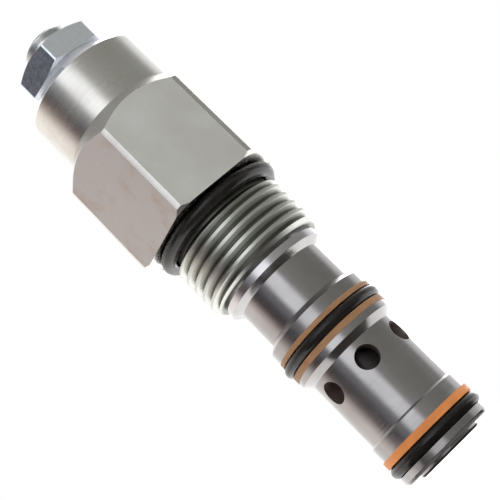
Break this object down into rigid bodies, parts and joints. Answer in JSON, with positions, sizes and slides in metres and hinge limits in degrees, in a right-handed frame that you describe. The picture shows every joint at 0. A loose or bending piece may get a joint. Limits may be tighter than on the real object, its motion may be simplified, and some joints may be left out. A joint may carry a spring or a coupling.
{
  "type": "cartridge valve",
  "caption": "Adjustable screw-in hydraulic cartridge valve: hexagon and lock-nut adjuster above a mounting thread, sealed cage lands, side and nose ports, spring-loaded spool.",
  "frame": {"origin": "centre of the seating face under the hexagon, where the valve seats on its cavity", "axes": "+Z along the valve's axis towards the adjusting screw, -Z towards the nose port; X passes through two corners of the large hexagon"},
  "size_m": [0.0252, 0.0222, 0.0823],
  "materials": {
    "turned_steel": "fine turned steel",
    "hardened_steel": "ground and polished, hardened",
    "zinc_steel": "bright zinc plating",
    "screw_steel": "plain steel, rolled thread",
    "spring_steel": "drawn spring wire",
    "stainless_screen": "etched stainless",
    "brass": "turned brass",
    "black_rubber": "moulded nitrile, faint oil film",
    "backup_plastic": "filled PTFE, machined"
  },
  "bodies": {
    "housing": {"hex_adapter": "turned_steel", "cage": "hardened_steel", "spool_stop_ring": "hardened_steel", "pilot_seat": "hardened_steel", "seat_o_ring": "black_rubber", "upper_backup_ring_top": "backup_plastic", "upper_o_ring": "black_rubber", "upper_backup_ring_bottom": "backup_plastic", "lower_backup_ring": "backup_plastic", "lower_o_ring": "black_rubber", "pilot_seat_o_ring": "black_rubber", "main_spring": "spring_steel", "pilot_spring": "spring_steel"},
    "spool": {"main_spool": "hardened_steel", "orifice_plug": "brass", "orifice_screen": "stainless_screen"},
    "poppet": {"pilot_poppet": "hardened_steel"},
    "adjuster": {"spring_pusher": "turned_steel", "pusher_o_ring": "black_rubber", "pusher_backup_ring": "backup_plastic"},
    "screw": {"adjusting_screw": "screw_steel"},
    "washer": {"nut_washer": "zinc_steel"},
    "nut": {"lock_nut": "zinc_steel"}
  },
  "joints": [
    {"name": "spool_slide", "type": "slide", "parent": "housing", "child": "spool", "axis": [0, 0, 1], "range_m": [0, 0.002], "stiffness_N_per_m": 1500, "springref_m": -0.005, "deforming": ["main_spring"]},
    {"name": "poppet_lift", "type": "slide", "parent": "housing", "child": "poppet", "axis": [0, 0, 1], "range_m": [0, 0.0006], "stiffness_N_per_m": 20000, "springref_m": -0.003},
    {"name": "adjuster_travel", "type": "slide", "parent": "housing", "child": "adjuster", "axis": [0, 0, 1], "range_m": [-0.00211, 0.00105], "deforming": ["pilot_spring"]},
    {"name": "adjuster_turn", "type": "hinge", "parent": "adjuster", "child": "screw", "pos_m": [0, 0, 0.0369], "axis": [0, 0, 1], "range_deg": [-720, 360]},
    {"name": "nut_lift", "type": "slide", "parent": "housing", "child": "washer", "axis": [0, 0, 1], "range_m": [0, 0.00105]},
    {"name": "nut_turn", "type": "hinge", "parent": "washer", "child": "nut", "pos_m": [0, 0, 0.0322], "axis": [0, 0, 1], "range_deg": [0, 360]}
  ],
  "couplings": [
    {"joint": "adjuster_turn", "follows": "adjuster_travel", "rad_per_m": 5936.9},
    {"joint": "nut_turn", "follows": "nut_lift", "rad_per_m": 5936.9}
  ]
}
